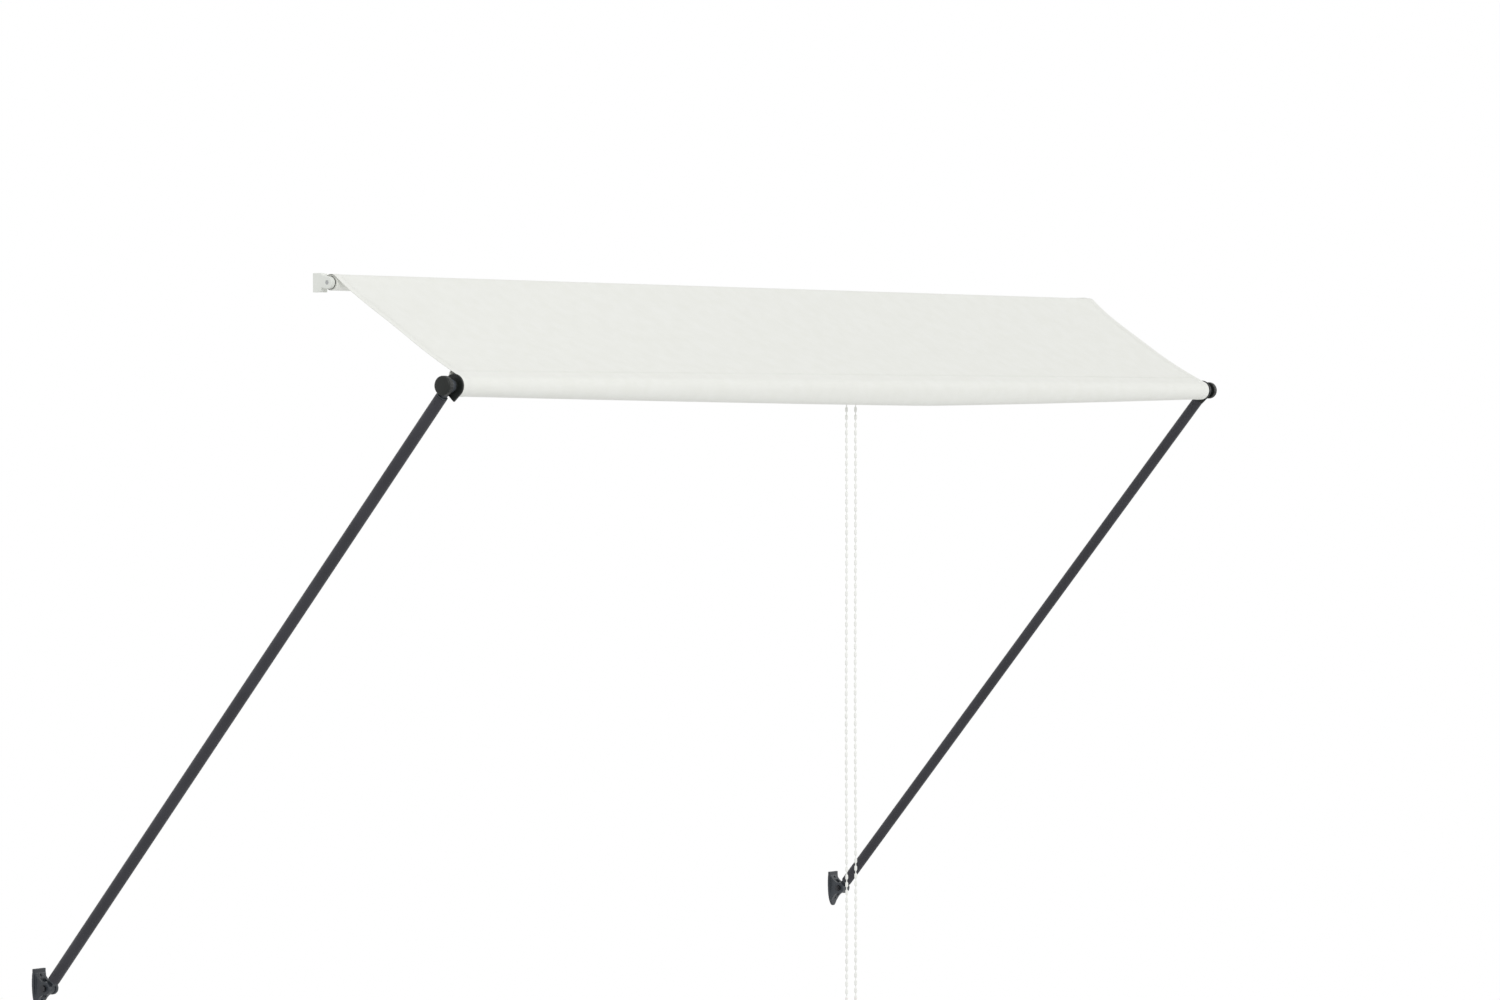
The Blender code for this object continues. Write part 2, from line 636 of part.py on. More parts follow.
def front_cap(side, outward):
    """End cap of the front bar: plug, pointed disc and boss for the arm eye."""
    name = f"front_cap_{side}"
    body = side_plate(name, cap_outline(), outward * CAP_INNER, outward * CAP_OUTER, BLACK_PLASTIC)
    middle = outward * (CAP_INNER + CAP_OUTER) / 2
    plug = cylinder(name + "_plug", FRONT_RADIUS - FRONT_WALL - GAP,
                    (outward * (CAP_INNER - CAP_PLUG_LENGTH), BAR_Y, BAR_Z),
                    (middle, BAR_Y, BAR_Z))
    boss = cylinder(name + "_boss", CAP_BOSS_RADIUS, (middle, BAR_Y, BAR_Z),
                    (outward * (EYE_INNER - GAP), BAR_Y, BAR_Z))
    join(body, plug, boss)
    cut(body, cylinder(name + "_bore", SPINDLE_RADIUS + PIVOT_PLAY,
                       (outward * (CAP_INNER - CAP_PLUG_LENGTH - OVERCUT), BAR_Y, BAR_Z),
                       (outward * (EYE_INNER + OVERCUT), BAR_Y, BAR_Z), steps=SMALL_STEPS))


def front_spindle(side, outward):
    """Bolt that carries the bar in the arm's eye and takes the knob."""
    name = f"front_spindle_{side}"
    seat = CAP_INNER - CAP_PLUG_LENGTH - GAP
    body = cylinder(name, SPINDLE_RADIUS, (outward * (seat - BITE), BAR_Y, BAR_Z),
                    (outward * SPINDLE_END, BAR_Y, BAR_Z), BARE_STEEL, steps=SMALL_STEPS)
    join(body, hexagon(name + "_head", SPINDLE_HEAD_RADIUS,
                       (outward * (seat - SPINDLE_HEAD_HEIGHT), BAR_Y, BAR_Z),
                       (outward * seat, BAR_Y, BAR_Z)))


def arc_profile(radius, height, edge):
    """Quarter round from the end of a drum to its side, as (radius, height) points."""
    return [(radius + across, height + up) for across, up in arc((0.0, 0.0), edge, 90, 0, 5)]


def knob(side, outward):
    """Clamping knob: hub, drum with a round edge and shallow flutes, blind bore."""
    name = f"knob_{side}"
    drum = KNOB_INNER + KNOB_HUB_LENGTH
    bore = SPINDLE_RADIUS + PIVOT_PLAY
    edge = KNOB_EDGE
    crown = [(0.0, KNOB_OUTER), (KNOB_RADIUS / 2, KNOB_OUTER - KNOB_CROWN / 3)]
    crown += arc_profile(KNOB_RADIUS - edge, KNOB_OUTER - KNOB_CROWN - edge, edge)
    profile = crown + [(KNOB_RADIUS, drum + KNOB_CHAMFER), (KNOB_RADIUS - KNOB_CHAMFER, drum),
                       (KNOB_HUB_RADIUS, drum), (KNOB_HUB_RADIUS, KNOB_INNER),
                       (bore, KNOB_INNER), (bore, SPINDLE_END + GAP), (0.0, SPINDLE_END + GAP)]
    if outward < 0:
        profile = [(radius, -height) for radius, height in reversed(profile)]
    body = turned(name, profile, BLACK_PLASTIC, (0.0, BAR_Y, BAR_Z), steps=36)
    for i in range(KNOB_FLUTES):
        angle = math.tau * i / KNOB_FLUTES
        reach = KNOB_RADIUS + KNOB_FLUTE_RADIUS - KNOB_FLUTE_DEPTH
        y = BAR_Y + reach * math.cos(angle)
        z = BAR_Z + reach * math.sin(angle)
        cut(body, cylinder(f"{name}_flute_{i}", KNOB_FLUTE_RADIUS,
                           (outward * (drum - BITE), y, z),
                           (outward * (KNOB_OUTER - edge), y, z), steps=HOLE_STEPS))


def tangent_frame():
    """Roller point, bar point and upward normal of the fabric's straight run."""
    roller = Vector((ROLLER_Y, ROLLER_Z))
    bar = Vector((BAR_Y, BAR_Z))
    along = (bar - roller).normalized()
    up = Vector((along.y, -along.x))
    if up.y < 0:
        up = -up
    roller_radius = WOUND_RADIUS + GAP
    bar_radius = HEM_RADIUS + GAP
    lean = (roller_radius - bar_radius) / (bar - roller).length
    normal = (up * math.sqrt(1 - lean * lean) + along * lean).normalized()
    return roller + normal * roller_radius, bar + normal * bar_radius, normal


def canopy():
    """The stretched fabric between the roller and the front bar."""
    start, end, normal = tangent_frame()
    mesh = bpy.data.meshes.new("canopy")
    points = []
    for j in range(FABRIC_ROWS + 1):
        t = j / FABRIC_ROWS
        bow = 4 * t * (1 - t)
        half = FABRIC_HALF - FABRIC_PULL_IN * bow
        place = start.lerp(end, t) - normal * FABRIC_SAG * bow
        for i in range(FABRIC_COLUMNS + 1):
            share = 2 * i / FABRIC_COLUMNS - 1
            points.append((share * half, place.x, place.y))
    row = FABRIC_COLUMNS + 1
    faces = []
    for j in range(FABRIC_ROWS):
        for i in range(FABRIC_COLUMNS):
            corner = j * row + i
            faces.append((corner, corner + row, corner + row + 1, corner + 1))
    mesh.from_pydata(points, [], faces)
    made = smooth(add_object("canopy", mesh, CANVAS))
    thick = made.modifiers.new("cloth thickness", "SOLIDIFY")
    thick.thickness = FABRIC_THICKNESS
    thick.offset = 1.0


def chain_hanger():
    """Eye screwed into the back of the front bar."""
    half = HANGER_EYE_THICKNESS / 2
    eye = cylinder("chain_hanger", HANGER_EYE_RADIUS, (CHAIN_X - half, HANGER_Y, BAR_Z),
                   (CHAIN_X + half, HANGER_Y, BAR_Z), BARE_STEEL, steps=24)
    join(eye, cylinder("chain_hanger_shank", HANGER_SHANK_RADIUS,
                       (CHAIN_X, BAR_Y + FRONT_RADIUS - FRONT_WALL * 3, BAR_Z),
                       (CHAIN_X, HANGER_Y - HANGER_EYE_RADIUS + BITE, BAR_Z),
                       steps=SMALL_STEPS))
    cut(eye, cylinder("chain_hanger_bore", PIN_RADIUS + PIVOT_PLAY,
                      (CHAIN_X - half * 3, HANGER_Y, BAR_Z), (CHAIN_X + half * 3, HANGER_Y, BAR_Z),
                      steps=HOLE_STEPS))


def chain_yoke():
    """Yoke that hangs on the eye by its pin and holds both ends of the chain."""
    inner = HANGER_EYE_THICKNESS / 2 + GAP
    outer = inner + EAR_THICKNESS
    top = BAR_Z - YOKE_DROP
    body = box("chain_yoke",
               (CHAIN_X - YOKE_WIDTH / 2, HANGER_Y - YOKE_DEPTH / 2, top - YOKE_HEIGHT),
               (CHAIN_X + YOKE_WIDTH / 2, HANGER_Y + YOKE_DEPTH / 2, top), CHAIN_PLASTIC)
    for sign, tag in ((-1, "a"), (1, "b")):
        near = CHAIN_X + sign * inner
        far = CHAIN_X + sign * outer
        disc = cylinder(f"chain_yoke_ear_{tag}", EAR_RADIUS, (near, HANGER_Y, BAR_Z),
                        (far, HANGER_Y, BAR_Z), steps=24)
        web = box(f"chain_yoke_web_{tag}",
                  (min(near, far), HANGER_Y - YOKE_DEPTH * 0.4, top - YOKE_HEIGHT / 2),
                  (max(near, far), HANGER_Y + YOKE_DEPTH * 0.4, BAR_Z - EAR_RADIUS / 2))
        join(body, web, disc)
    cut(body, cylinder("chain_yoke_bore", PIN_RADIUS + PIVOT_PLAY,
                       (CHAIN_X - outer * 2, HANGER_Y, BAR_Z), (CHAIN_X + outer * 2, HANGER_Y, BAR_Z),
                       steps=HOLE_STEPS))
    cylinder("chain_pin", PIN_RADIUS, (CHAIN_X - outer - PIN_TAIL, HANGER_Y, BAR_Z),
             (CHAIN_X + outer + PIN_TAIL, HANGER_Y, BAR_Z), BARE_STEEL, steps=HOLE_STEPS)


def chain_route():
    """Centre line of the chain: down one strand, round the bottom, up the other."""
    top = BAR_Z - YOKE_DROP - YOKE_HEIGHT - GAP
    turn = top - CHAIN_DROP
    half = STRAND_GAP / 2
    down = []
    for i in range(CHAIN_STEPS + 1):
        t = i / CHAIN_STEPS
        wave = CHAIN_WAVE * math.sin(math.pi * t) * math.sin(9 * t)
        down.append((CHAIN_X - half + wave, HANGER_Y, top + (turn - top) * t))
    bottom = [(CHAIN_X + across, HANGER_Y, height)
              for across, height in arc((0.0, turn), half, 180, 360, 10)][1:-1]
    up = []
    for i in range(CHAIN_STEPS + 1):
        t = 1 - i / CHAIN_STEPS
        wave = CHAIN_WAVE * math.sin(math.pi * t) * math.sin(8 * t + 1)
        up.append((CHAIN_X + half + wave, HANGER_Y, top + (turn - top) * t))
    return down + bottom + up


def pull_chain():
    """The looped pull chain as a plain tube."""
    curve = bpy.data.curves.new("pull_chain", "CURVE")
    curve.dimensions = "3D"
    curve.bevel_depth = CHAIN_DIAMETER / 2
    curve.bevel_resolution = 2
    curve.use_fill_caps = True
    spline = curve.splines.new("POLY")
    route = chain_route()
    spline.points.add(len(route) - 1)
    for point, place in zip(spline.points, route):
        point.co = (*place, 1.0)
    curve.materials.append(CHAIN_PLASTIC)
    made = bpy.data.objects.new("pull_chain", curve)
    PARTS.objects.link(made)


def build():
    """Make every piece of the awning."""
    for side, outward in (("left", -1), ("right", 1)):
        x = outward * ARM_X
        arm_bracket(side, x)
        arm_bolt(side, x, outward)
        arm(side, x)
        roller_bracket(side, outward)
        roller_plug(side, outward)
        front_cap(side, outward)
        front_spindle(side, outward)
        knob(side, outward)
    roller_tube()
    spring_set()
    roller_pin()
    front_tube()
    canopy()
    chain_hanger()
    chain_yoke()
    pull_chain()


build()
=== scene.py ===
"""Looks of the drop-arm canvas awning: cloth, bead chain, castings and finishes."""
import json
import math

import bmesh
import bpy
from mathutils import Matrix, Vector


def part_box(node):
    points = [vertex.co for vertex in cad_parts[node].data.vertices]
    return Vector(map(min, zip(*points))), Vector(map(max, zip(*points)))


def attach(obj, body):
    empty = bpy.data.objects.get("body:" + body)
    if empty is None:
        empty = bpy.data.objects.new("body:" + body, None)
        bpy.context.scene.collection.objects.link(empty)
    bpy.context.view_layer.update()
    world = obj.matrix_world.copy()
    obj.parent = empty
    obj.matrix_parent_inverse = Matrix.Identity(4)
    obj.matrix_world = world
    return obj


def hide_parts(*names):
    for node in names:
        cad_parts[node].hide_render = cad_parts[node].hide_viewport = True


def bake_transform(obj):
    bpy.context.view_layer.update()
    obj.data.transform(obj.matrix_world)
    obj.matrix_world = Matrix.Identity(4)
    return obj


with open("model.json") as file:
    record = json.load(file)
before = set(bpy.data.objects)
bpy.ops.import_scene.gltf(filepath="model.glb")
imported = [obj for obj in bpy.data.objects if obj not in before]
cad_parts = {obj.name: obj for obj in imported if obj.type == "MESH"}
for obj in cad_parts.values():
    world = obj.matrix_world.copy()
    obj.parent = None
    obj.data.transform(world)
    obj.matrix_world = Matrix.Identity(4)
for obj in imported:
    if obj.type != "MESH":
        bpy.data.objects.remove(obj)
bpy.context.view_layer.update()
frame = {"nodes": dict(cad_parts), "record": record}


def width_of(node):
    """Size of a CAD node along X."""
    low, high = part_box(node)
    return high.x - low.x


def height_of(node):
    """Size of a CAD node along Z."""
    low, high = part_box(node)
    return high.z - low.z


# Places, sizes and material slots read from the frame
JOINTS = {joint["name"]: joint for joint in frame["record"]["behaviour"]["joints"]}
PIVOT = Vector(JOINTS["left_arm_swing"]["pos_m"])
BAR = Vector(JOINTS["front_bar_turn"]["pos_m"])
ROLLER = Vector(JOINTS["roller_spin"]["pos_m"])
HANGER = Vector(JOINTS["chain_hang"]["pos_m"])
HALF_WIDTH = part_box("front_hem")[1].x
ROLL_HALF_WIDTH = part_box("fabric_roll")[1].x
WOUND_RADIUS = height_of("fabric_roll") / 2
ROLLER_TUBE_RADIUS = height_of("roller_tube") / 2
BAR_TUBE_RADIUS = height_of("front_tube") / 2
ARM_TUBE_RADIUS = width_of("left_arm_tube") / 2
SLOTS = {part["node"]: part["material_slot"] for part in frame["record"]["subparts"]}

# Camera of the photograph
IMAGE_WIDTH = 1500
SENSOR_MM = 36.0
FOCAL_PX = 5588.5
CAMERA_PLACE = (-10.2897, -7.8589, 1.2019)
CAMERA_YAW = 0.9682
CAMERA_PITCH = -0.0155
CAMERA_ROLL = 0.0005
CAMERA_REACH = 200          # nothing is cut off nearer than this

# Cloth
CLOTH_THICKNESS = 0.0009
CLOTH_SAG = 0.009
CLOTH_RIPPLE = 0.0012
RIPPLE_ACROSS = 5.1         # waves of the ripple from the middle to a side, in radians
RIPPLE_SWELL = 2.3          # the slower wave that swells and calms it
RIPPLE_SHIFT = 2.2          # how far it shifts from roller to bar
CORNER_PULL = 0.002
CORNER_WAVES = 1.5
CORNER_POWER = 6            # how close to the sides the pull stays
CLOTH_INSET = 0.0004        # free sides lie in from the sleeve's ends
CLOTH_PULL_IN = 0.007       # and draw in by this more at the middle of the run
HEM_SLACK = 0.017           # the hem hangs lower than the bar by this at its lowest
HEM_LOW_X = 0.25            # where the hem hangs lowest
HEM_RISE_POWER = 1.25       # shape of its rise towards both ends
HEM_ROUND_POWER = 1.6       # how much of the slack gathers at its underside
ROLL_TURN = math.radians(70)        # the sheet goes on round the roller by this
ROLL_TUCK = 0.0006          # and dips by this into the wound cloth
WRAP_END = math.radians(262)        # the sleeve's turn round the bar
SLEEVE_TURN = 0.84          # share of the wrap where the sleeve leaves the bar
SLEEVE_REACH = 0.075        # share of the run covered by the sleeve's seam
SLEEVE_EASE = CLOTH_THICKNESS * 1.2     # from the bar to the middle of the sleeve's cloth
SLEEVE_GAP = CLOTH_THICKNESS * 1.4      # from the run to the layer sewn under it
SIDE_HEM_LIFT = 0.0007      # height of the doubled strip along each side
COLUMNS = 190               # between the side hems
EDGE_COLUMNS = (0.0, 0.0008, 0.010, 0.0212, 0.0220, 0.0228)     # in from each edge
ROLL_ROWS = 10
RUN_ROWS = 56
WRAP_ROWS = 40

# The straight run in section, as (y, z)
ROLLER_AXIS = Vector((ROLLER.y, ROLLER.z))
BAR_AXIS = Vector((BAR.y, BAR.z))
ROLLER_SEAT = WOUND_RADIUS + CLOTH_THICKNESS
BAR_SEAT = BAR_TUBE_RADIUS + SLEEVE_EASE

# Wound cloth on the roller, with a groove between the turns at its ends
WOUND_TURNS = 5
WOUND_SIDES = 28
WOUND_GAP = 0.0003          # from the tube to the innermost turn
GROOVE_HALF_WIDTH = 0.00004
GROOVE_DEPTH = 0.0012
TURN_EDGE_WIDTH = 0.00012   # from a turn's face to its end face
TURN_EDGE_DEPTH = 0.0002
WOUND_SHARP = math.radians(50)

# Stitches, each as places along it, heights and shares of the thread's radius
STITCH_PITCH = 0.0045
STITCH_LENGTH = 0.0030
STITCH_LIFT = 0.0001        # its middle above the cloth
STITCH_MARGIN = 0.0185      # side stitches in from the edge
STITCH_PROFILE = ((-0.5, -0.0002, 0.6), (-0.2, 0.0001, 1.0),
                  (0.2, 0.0001, 1.0), (0.5, -0.0002, 0.6))
SLEEVE_ROWS = (0.062, 0.072)        # shares of the run, up from the bar
SIDE_ROW_START = 0.02
SIDE_ROW_SHARE = 0.90
THREAD_RADIUS = 0.00028
THREAD_SIDES = 5

# Bead chain
BEAD_PITCH = 0.0169
BEAD_LENGTH = 0.0118
BEAD_RADIUS = 0.0031
BEAD_SIDES = 14
BEAD_PROFILE = ((-0.5, 0.42), (-0.44, 0.72), (-0.34, 0.92), (-0.2, 1.0), (0.0, 1.0),
                (0.2, 1.0), (0.34, 0.92), (0.44, 0.72), (0.5, 0.42))
LINK_RADIUS = 0.0011
LINK_SHARES = (0.06, 0.94)  # rings of the core, as shares of the gap between two beads
CHAIN_DROP = 1.395
CHAIN_WAVE = 0.0012
CHAIN_STEPS = 27            # points along each strand
BEND_STEPS = 10             # and round the bottom
STRAND_GAP = 0.036
YOKE_BOTTOM = 0.0183        # chain ends below the hanger eye

# Eyelet, as radii and heights over the cloth, and rivets, as heights over the tube and radii
EYELET_SIDES = 32
EYELET_PROFILE = ((0.0032, -0.0003), (0.0065, -0.0003), (0.0067, 0.0005), (0.0058, 0.0010),
                  (0.0046, 0.0012), (0.0036, 0.0010), (0.0031, 0.0004))
RIVET_SIDES = 20
RIVET_PROFILE = ((-0.0009, 0.0031), (0.0001, 0.0031), (0.0007, 0.0027),
                 (0.0011, 0.0018), (0.00125, 0.0006))
RIVET_FROM_PIVOT = 0.041
RIVET_FROM_BAR = 0.044

# Castings
CAST_VOXEL = 0.0006
CAST_SMOOTHING = 0.5
PLATE_SHOULDER = 0.25       # where a bracket plate's foot begins, as a share of its rise
PLATE_CONTROL = 0.75        # control point of the foot's curve, as a share of its drop
PLATE_TIP_HALF = 0.003      # half width of the foot's tip

# A direction is taken as lying along an axis when it shares more than this with it
NEARLY_ALONG = 0.9

# Stage
FLOOR_HEIGHT = -1.25
FLOOR_HALF = 7.0
SKY_LIGHT = 0.74            # what lights the awning
SKY_SEEN = 1.0              # what the camera and the reflections show


def place_camera():
    """Camera at the photograph's place, turned from yaw, pitch and roll."""
    data = bpy.data.cameras.new("photo_camera")
    data.sensor_width = SENSOR_MM
    data.lens = FOCAL_PX * SENSOR_MM / IMAGE_WIDTH
    data.clip_end = CAMERA_REACH
    made = bpy.data.objects.new("photo_camera", data)
    bpy.context.scene.collection.objects.link(made)
    turn = (Matrix.Rotation(-CAMERA_YAW, 4, "Z")
            @ Matrix.Rotation(math.pi / 2 + CAMERA_PITCH, 4, "X")
            @ Matrix.Rotation(-CAMERA_ROLL, 4, "Z"))
    made.matrix_world = Matrix.Translation(CAMERA_PLACE) @ turn
    bpy.context.scene.camera = made


class Nodes:
    """A material's shader nodes, added and linked by short calls."""

    def __init__(self, name):
        self.material = bpy.data.materials.new(name)
        self.material.use_nodes = True
        self.tree = self.material.node_tree
        self.shader = self.tree.nodes["Principled BSDF"]

    def add(self, kind, **values):
        """A new node with its sockets or properties set."""
        node = self.tree.nodes.new(kind)
        for key, value in values.items():
            if key in node.inputs:
                node.inputs[key].default_value = value
            else:
                setattr(node, key, value)
        return node

    def link(self, source, target):
        """Join an output to an input."""
        self.tree.links.new(source, target)

    def feed(self, socket, source):
        """Feed one of the shader's sockets."""
        self.link(source, self.shader.inputs[socket])

    def set(self, **values):
        """Set the shader's sockets, with underscores for the spaces in their names."""
        for key, value in values.items():
            self.shader.inputs[key.replace("_", " ")].default_value = value

    def coordinates(self, kind="Object"):
        """Places on the piece."""
        return self.add("ShaderNodeTexCoord").outputs[kind]

    def stretched(self, source, scale):
        """Coordinates scaled differently along each axis."""
        node = self.add("ShaderNodeMapping")
        node.inputs["Scale"].default_value = scale
        self.link(source, node.inputs["Vector"])
        return node.outputs["Vector"]

    def noise(self, scale, detail=3.0, source=None):
        """Noise over the piece, or over the coordinates given."""
        node = self.add("ShaderNodeTexNoise", Scale=scale, Detail=detail, Roughness=0.5)
        self.link(source or self.coordinates(), node.inputs["Vector"])
        return node.outputs["Fac"]

    def bands(self, source, axis):
        """Fine parallel threads, seen across one axis."""
        node = self.add("ShaderNodeTexWave", Scale=320.0, Distortion=0.6, Detail=1.0,
                        wave_type="BANDS", bands_direction=axis, wave_profile="SIN")
        self.link(source, node.inputs["Vector"])
        return node.outputs["Fac"]

    def ramp(self, source, low, high, start, end):
        """Map a value to a colour between low and high."""
        node = self.add("ShaderNodeValToRGB")
        first, last = node.color_ramp.elements
        first.position = start
        first.color = (*low, 1.0)
        last.position = end
        last.color = (*high, 1.0)
        self.link(source, node.inputs["Fac"])
        return node.outputs["Color"]

    def span(self, source, low, high):
        """Map a value from 0..1 to low..high."""
        node = self.add("ShaderNodeMapRange")
        node.inputs["To Min"].default_value = low
        node.inputs["To Max"].default_value = high
        self.link(source, node.inputs["Value"])
        return node.outputs["Result"]

    def product(self, first, second):
        """Two values multiplied."""
        node = self.add("ShaderNodeMath", operation="MULTIPLY")
        self.link(first, node.inputs[0])
        self.link(second, node.inputs[1])
        return node.outputs["Value"]

    def bump(self, height, distance, strength, after=None):
        """Fine relief from a height, on top of an earlier one if that is given."""
        node = self.add("ShaderNodeBump", Strength=strength, Distance=distance)
        self.link(height, node.inputs["Height"])
        if after is not None:
            self.link(after, node.inputs["Normal"])
        return node.outputs["Normal"]


def srgb(red, green, blue):
    """Linear colour of 0..255 screen values."""
    made = []
    for value in (red, green, blue):
        share = value / 255
        made.append(share / 12.92 if share <= 0.04045 else ((share + 0.055) / 1.055) ** 2.4)
    return tuple(made)


def canvas_material():
    """Off-white solution-dyed canvas: plain weave, faint slub and mottling."""
    look = Nodes("canvas")
    look.set(Roughness=0.85, Sheen_Weight=0.12, Sheen_Roughness=0.5)
    threads = look.coordinates("UV")
    mottle = look.noise(30.0, detail=5.0)
    look.feed("Base Color", look.ramp(mottle, srgb(235, 236, 230), srgb(238, 239, 234), 0.3, 0.7))
    weave = look.product(look.bands(threads, "X"), look.bands(threads, "Y"))
    slub = look.noise(1.0, source=look.stretched(threads, (6.0, 420.0, 1.0)))
    coarse = look.bump(slub, distance=0.0002, strength=0.35)
    look.feed("Normal", look.bump(weave, distance=0.00025, strength=0.5, after=coarse))
    return look.material


def paint_material(name, low, high, roughness, grain=0.00008, scale=900.0, gloss=0.5):
    """Powder coat, plastic or thread: grain, slight mottling and uneven sheen."""
    look = Nodes(name)
    look.set(Specular_IOR_Level=gloss)
    look.feed("Base Color", look.ramp(look.noise(14.0, detail=4.0), low, high, 0.3, 0.7))
    look.feed("Roughness", look.span(look.noise(60.0, detail=2.0),
                                      roughness - 0.06, roughness + 0.08))
    look.feed("Normal", look.bump(look.noise(scale, detail=2.0), distance=grain, strength=0.6))
    return look.material


def metal_material(name, colour, roughness):
    """Metal with fine drawing marks along X."""
    look = Nodes(name)
    look.set(Metallic=1.0)
    marks = look.noise(1.0, source=look.stretched(look.coordinates(), (8.0, 900.0, 900.0)))
    dark = tuple(value * 0.88 for value in colour)
    bright = tuple(min(1.0, value * 1.08) for value in colour)
    look.feed("Base Color", look.ramp(marks, dark, bright, 0.25, 0.75))
    look.feed("Roughness", look.span(marks, roughness - 0.08, roughness + 0.12))
    look.feed("Normal", look.bump(marks, distance=0.00005, strength=0.3))
    return look.material


THREAD = paint_material("thread", srgb(226, 227, 221), srgb(236, 237, 232), 0.7, grain=0.00005)
SLOT_FINISH = {
    "canvas": canvas_material(),
    "arm_paint": paint_material("arm_paint", srgb(50, 50, 55), srgb(57, 57, 63), 0.42,
                                gloss=0.28),
    "slate_paint": paint_material("slate_paint", srgb(46, 50, 55), srgb(60, 65, 71), 0.32,
                                  grain=0.00012, scale=600.0, gloss=0.4),
    "white_paint": paint_material("white_paint", srgb(224, 227, 221), srgb(233, 235, 230), 0.42),
    "front_tube_paint": paint_material("bar_paint", srgb(222, 224, 219), srgb(230, 232, 227),
                                       0.42),
    "black_plastic": paint_material("black_plastic", srgb(25, 28, 26), srgb(33, 36, 34), 0.42,
                                    grain=0.00006, gloss=0.3),
    "chain_plastic": paint_material("chain_plastic", srgb(238, 239, 235), srgb(244, 245, 241),
                                    0.38, grain=0.00003),
    "zinc_steel": metal_material("zinc_steel", (0.42, 0.43, 0.43), 0.36),
    "black_zinc": metal_material("black_zinc", (0.060, 0.061, 0.066), 0.38),
    "aluminium": metal_material("aluminium", (0.70, 0.71, 0.72), 0.34),
}


def finish_nodes():
    """Give every CAD node the material of its slot."""
    for name, slot in SLOTS.items():
        node = frame["nodes"][name]
        if not node.material_slots:
            node.data.materials.append(SLOT_FINISH[slot])
        for place in node.material_slots:
            place.material = SLOT_FINISH[slot]


def link_mesh(name, points, faces, material, smooth=True):
    """A new mesh object in the scene."""
    mesh = bpy.data.meshes.new(name)
    mesh.from_pydata([tuple(point) for point in points], [], faces)
    mesh.materials.append(material)
    if smooth:
        mesh.shade_smooth()
    made = bpy.data.objects.new(name, mesh)
    bpy.context.scene.collection.objects.link(made)
    return made


def link_ring(name, loops, material):
    """A closed ring skinned over loops of points, the last one joined to the first."""
    points = [point for loop in loops for point in loop]
    faces = []
    size = len(loops[0])
    for k in range(len(loops)):
        here = k * size
        there = (k + 1) % len(loops) * size
        for i in range(size):
            j = (i + 1) % size
            faces.append((here + i, here + j, there + j, there + i))
    made = link_mesh(name, points, faces, material)
    face_outwards(made)
    return made


def face_outwards(target):
    """Point all faces of a mesh outwards."""
    shape = bmesh.new()
    shape.from_mesh(target.data)
    bmesh.ops.recalc_face_normals(shape, faces=shape.faces)
    shape.to_mesh(target.data)
    shape.free()


def apply_modifiers(target):
    """Replace a mesh by its evaluated self."""
    bpy.context.view_layer.update()
    graph = bpy.context.evaluated_depsgraph_get()
    mesh = bpy.data.meshes.new_from_object(target.evaluated_get(graph))
    target.modifiers.clear()
    target.data = mesh


def add_rings(points, faces, rings, sides):
    """Skin a row of rings given as (centre, direction, radius), with closed ends."""
    base = len(points)
    for centre, direction, radius in rings:
        # Square to Y where that is possible, so that rings along a route aren't twisted
        if abs(direction.y) < NEARLY_ALONG:
            side = direction.cross(Vector((0, 1, 0))).normalized()
        else:
            side = direction.orthogonal().normalized()
        other = direction.cross(side)
        for i in range(sides):
            angle = math.tau * i / sides
            points.append(centre + (side * math.cos(angle) + other * math.sin(angle)) * radius)
    for row in range(len(rings) - 1):
        here = base + row * sides
        for i in range(sides):
            j = (i + 1) % sides
            faces.append((here + i, here + j, here + j + sides, here + i + sides))
    last = base + (len(rings) - 1) * sides
    faces.append([base + i for i in reversed(range(sides))])
    faces.append([last + i for i in range(sides)])


def chain_strand(x, waves, phase):
    """Points down one strand of the chain, with a slow wave in it."""
    top = HANGER.z - YOKE_BOTTOM
    points = []
    for i in range(CHAIN_STEPS + 1):
        t = i / CHAIN_STEPS
        wave = CHAIN_WAVE * math.sin(math.pi * t) * math.sin(waves * t + phase)
        points.append(Vector((x + wave, HANGER.y, top - CHAIN_DROP * t)))
    return points


def chain_route():
    """Centre line of the chain: down one strand, round the bottom, up the other."""
    half = STRAND_GAP / 2
    down = chain_strand(HANGER.x - half, waves=9, phase=0)
    up = chain_strand(HANGER.x + half, waves=8, phase=1)
    low = HANGER.z - YOKE_BOTTOM - CHAIN_DROP
    bottom = []
    for i in range(1, BEND_STEPS):
        angle = math.pi * (1 + i / BEND_STEPS)
        bottom.append(Vector((HANGER.x + half * math.cos(angle), HANGER.y,
                              low + half * math.sin(angle))))
    return down + bottom + up[::-1]


def route_length(route):
    """Length of a route along its points."""
    return sum((b - a).length for a, b in zip(route, route[1:]))


def along_route(route, distance):
    """Place and direction at a distance along a route."""
    for start, end in zip(route, route[1:]):
        step = (end - start).length
        if distance <= step:
            return start.lerp(end, distance / step), (end - start).normalized()
        distance -= step
    return route[-1].copy(), (route[-1] - route[-2]).normalized()


def bead_sections(total):
    """Distances along the chain and radii there, for all beads and the core between them."""
    count = int(total / BEAD_PITCH)
    margin = (total - (count - 1) * BEAD_PITCH) / 2
    gap = BEAD_PITCH - BEAD_LENGTH
    sections = [(0.0, LINK_RADIUS)]
    for k in range(count):
        middle = margin + k * BEAD_PITCH
        for share, width in BEAD_PROFILE:
            sections.append((middle + share * BEAD_LENGTH, BEAD_RADIUS * width))
        if k < count - 1:
            for share in LINK_SHARES:
                sections.append((middle + BEAD_LENGTH / 2 + gap * share, LINK_RADIUS))
    return sections + [(total, LINK_RADIUS)]


